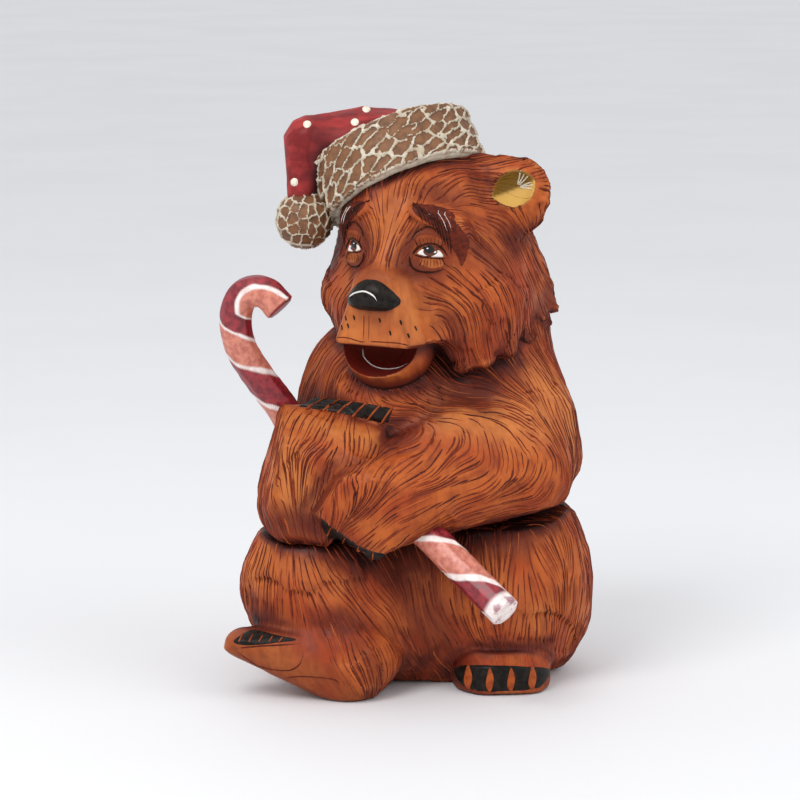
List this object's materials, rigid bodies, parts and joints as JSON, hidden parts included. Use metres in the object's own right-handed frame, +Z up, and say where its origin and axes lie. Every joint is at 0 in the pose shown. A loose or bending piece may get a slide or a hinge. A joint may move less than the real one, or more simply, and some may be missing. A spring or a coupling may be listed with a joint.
{
  "type": "carved wooden bear figurine",
  "caption": "Seated carved wooden bear in a red stocking cap with a cream brim and pompom, hugging a striped candy cane, stained and painted by hand.",
  "frame": {"origin": "middle of the base, under the middle of the figure's box", "axes": "+Z up; -Y is the side that the bear's chest and feet face; +X is to the bear's own left"},
  "size_m": [0.0794, 0.0716, 0.1247],
  "materials": {
    "stained_wood": "carved linden, orange-brown stain with dark brush strokes, satin lacquer",
    "black_paint": "black paint on the nose, eyes and claws, satin",
    "white_paint": "white paint lines and highlights, satin",
    "red_paint": "deep red paint over wood, satin",
    "cream_paint": "cream dry-brushed paint over gouged tan wood, satin",
    "striped_paint": "crimson and salmon spiral bands with off-white lines, satin",
    "bare_wood": "unfinished birch dowel"
  },
  "bodies": {
    "root": {"haunches": "stained_wood", "torso": "stained_wood", "head": "stained_wood", "hat_brim": "cream_paint", "hat_crown": "red_paint", "pompom": "cream_paint", "cane_hook": "striped_paint", "cane_tip": "striped_paint", "waist_dowel_right": "bare_wood", "waist_dowel_left": "bare_wood", "neck_dowel": "bare_wood", "hat_dowel": "bare_wood", "pompom_dowel": "bare_wood"}
  },
  "joints": []
}
